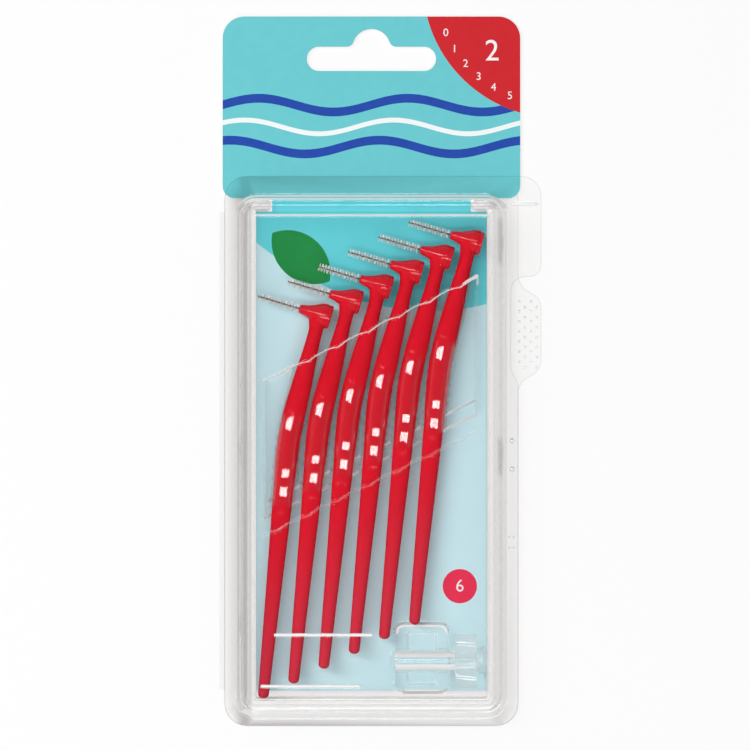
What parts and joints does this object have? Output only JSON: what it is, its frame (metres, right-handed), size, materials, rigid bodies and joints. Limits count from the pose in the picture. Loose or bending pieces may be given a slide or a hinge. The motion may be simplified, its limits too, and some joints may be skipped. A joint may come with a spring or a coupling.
{
  "type": "interdental brush set",
  "caption": "Clear hinged case with a hang-slot card, holding a row of red angled interdental brushes in a formed tray, and a loose clear protective cap.",
  "frame": {"origin": "centre of the whole set's footprint, on the surface that the case lies on", "axes": "+X across the card to the opening side, +Y up the card to the hang slot, +Z out of the front cover"},
  "size_m": [0.08, 0.176, 0.0142],
  "materials": {
    "clear_sheet": "clear thermoformed sheet, glossy",
    "printed_card": "coated board, teal header over a pale blue panel",
    "clear_cap": "clear moulded plastic, slightly hazy",
    "red_plastic": "red moulded plastic, glossy",
    "steel_wire": "coated twisted steel wire",
    "bristle_nylon": "fine pale nylon filaments"
  },
  "bodies": {
    "case_back": {"back_shell": "clear_sheet", "insert_card": "printed_card", "brush_tray": "clear_sheet", "living_hinge": "clear_sheet"},
    "cover": {"front_cover": "clear_sheet"},
    "brush_1": {"handle_1": "red_plastic", "wire_1": "steel_wire", "bristles_1": "bristle_nylon"},
    "brush_2": {"handle_2": "red_plastic", "wire_2": "steel_wire", "bristles_2": "bristle_nylon"},
    "brush_3": {"handle_3": "red_plastic", "wire_3": "steel_wire", "bristles_3": "bristle_nylon"},
    "brush_4": {"handle_4": "red_plastic", "wire_4": "steel_wire", "bristles_4": "bristle_nylon"},
    "brush_5": {"handle_5": "red_plastic", "wire_5": "steel_wire", "bristles_5": "bristle_nylon"},
    "brush_6": {"handle_6": "red_plastic", "wire_6": "steel_wire", "bristles_6": "bristle_nylon"},
    "cap": {"protective_cap": "clear_cap"}
  },
  "joints": [
    {"name": "cover_hinge", "type": "hinge", "parent": "case_back", "child": "cover", "pos_m": [-0.03939, -0.02058, 0.00065], "axis": [0, -1, 0], "range_deg": [0, 115], "deforming": ["living_hinge"]},
    {"name": "brush_1_lift", "type": "slide", "parent": "case_back", "child": "brush_1", "axis": [0, 0, 1], "range_m": [0, 0.004]},
    {"name": "brush_2_lift", "type": "slide", "parent": "case_back", "child": "brush_2", "axis": [0, 0, 1], "range_m": [0, 0.004]},
    {"name": "brush_3_lift", "type": "slide", "parent": "case_back", "child": "brush_3", "axis": [0, 0, 1], "range_m": [0, 0.004]},
    {"name": "brush_4_lift", "type": "slide", "parent": "case_back", "child": "brush_4", "axis": [0, 0, 1], "range_m": [0, 0.004]},
    {"name": "brush_5_lift", "type": "slide", "parent": "case_back", "child": "brush_5", "axis": [0, 0, 1], "range_m": [0, 0.004]},
    {"name": "brush_6_lift", "type": "slide", "parent": "case_back", "child": "brush_6", "axis": [0, 0, 1], "range_m": [0, 0.004]},
    {"name": "cap_lift", "type": "slide", "parent": "case_back", "child": "cap", "axis": [0, 0, 1], "range_m": [0, 0.004]}
  ]
}
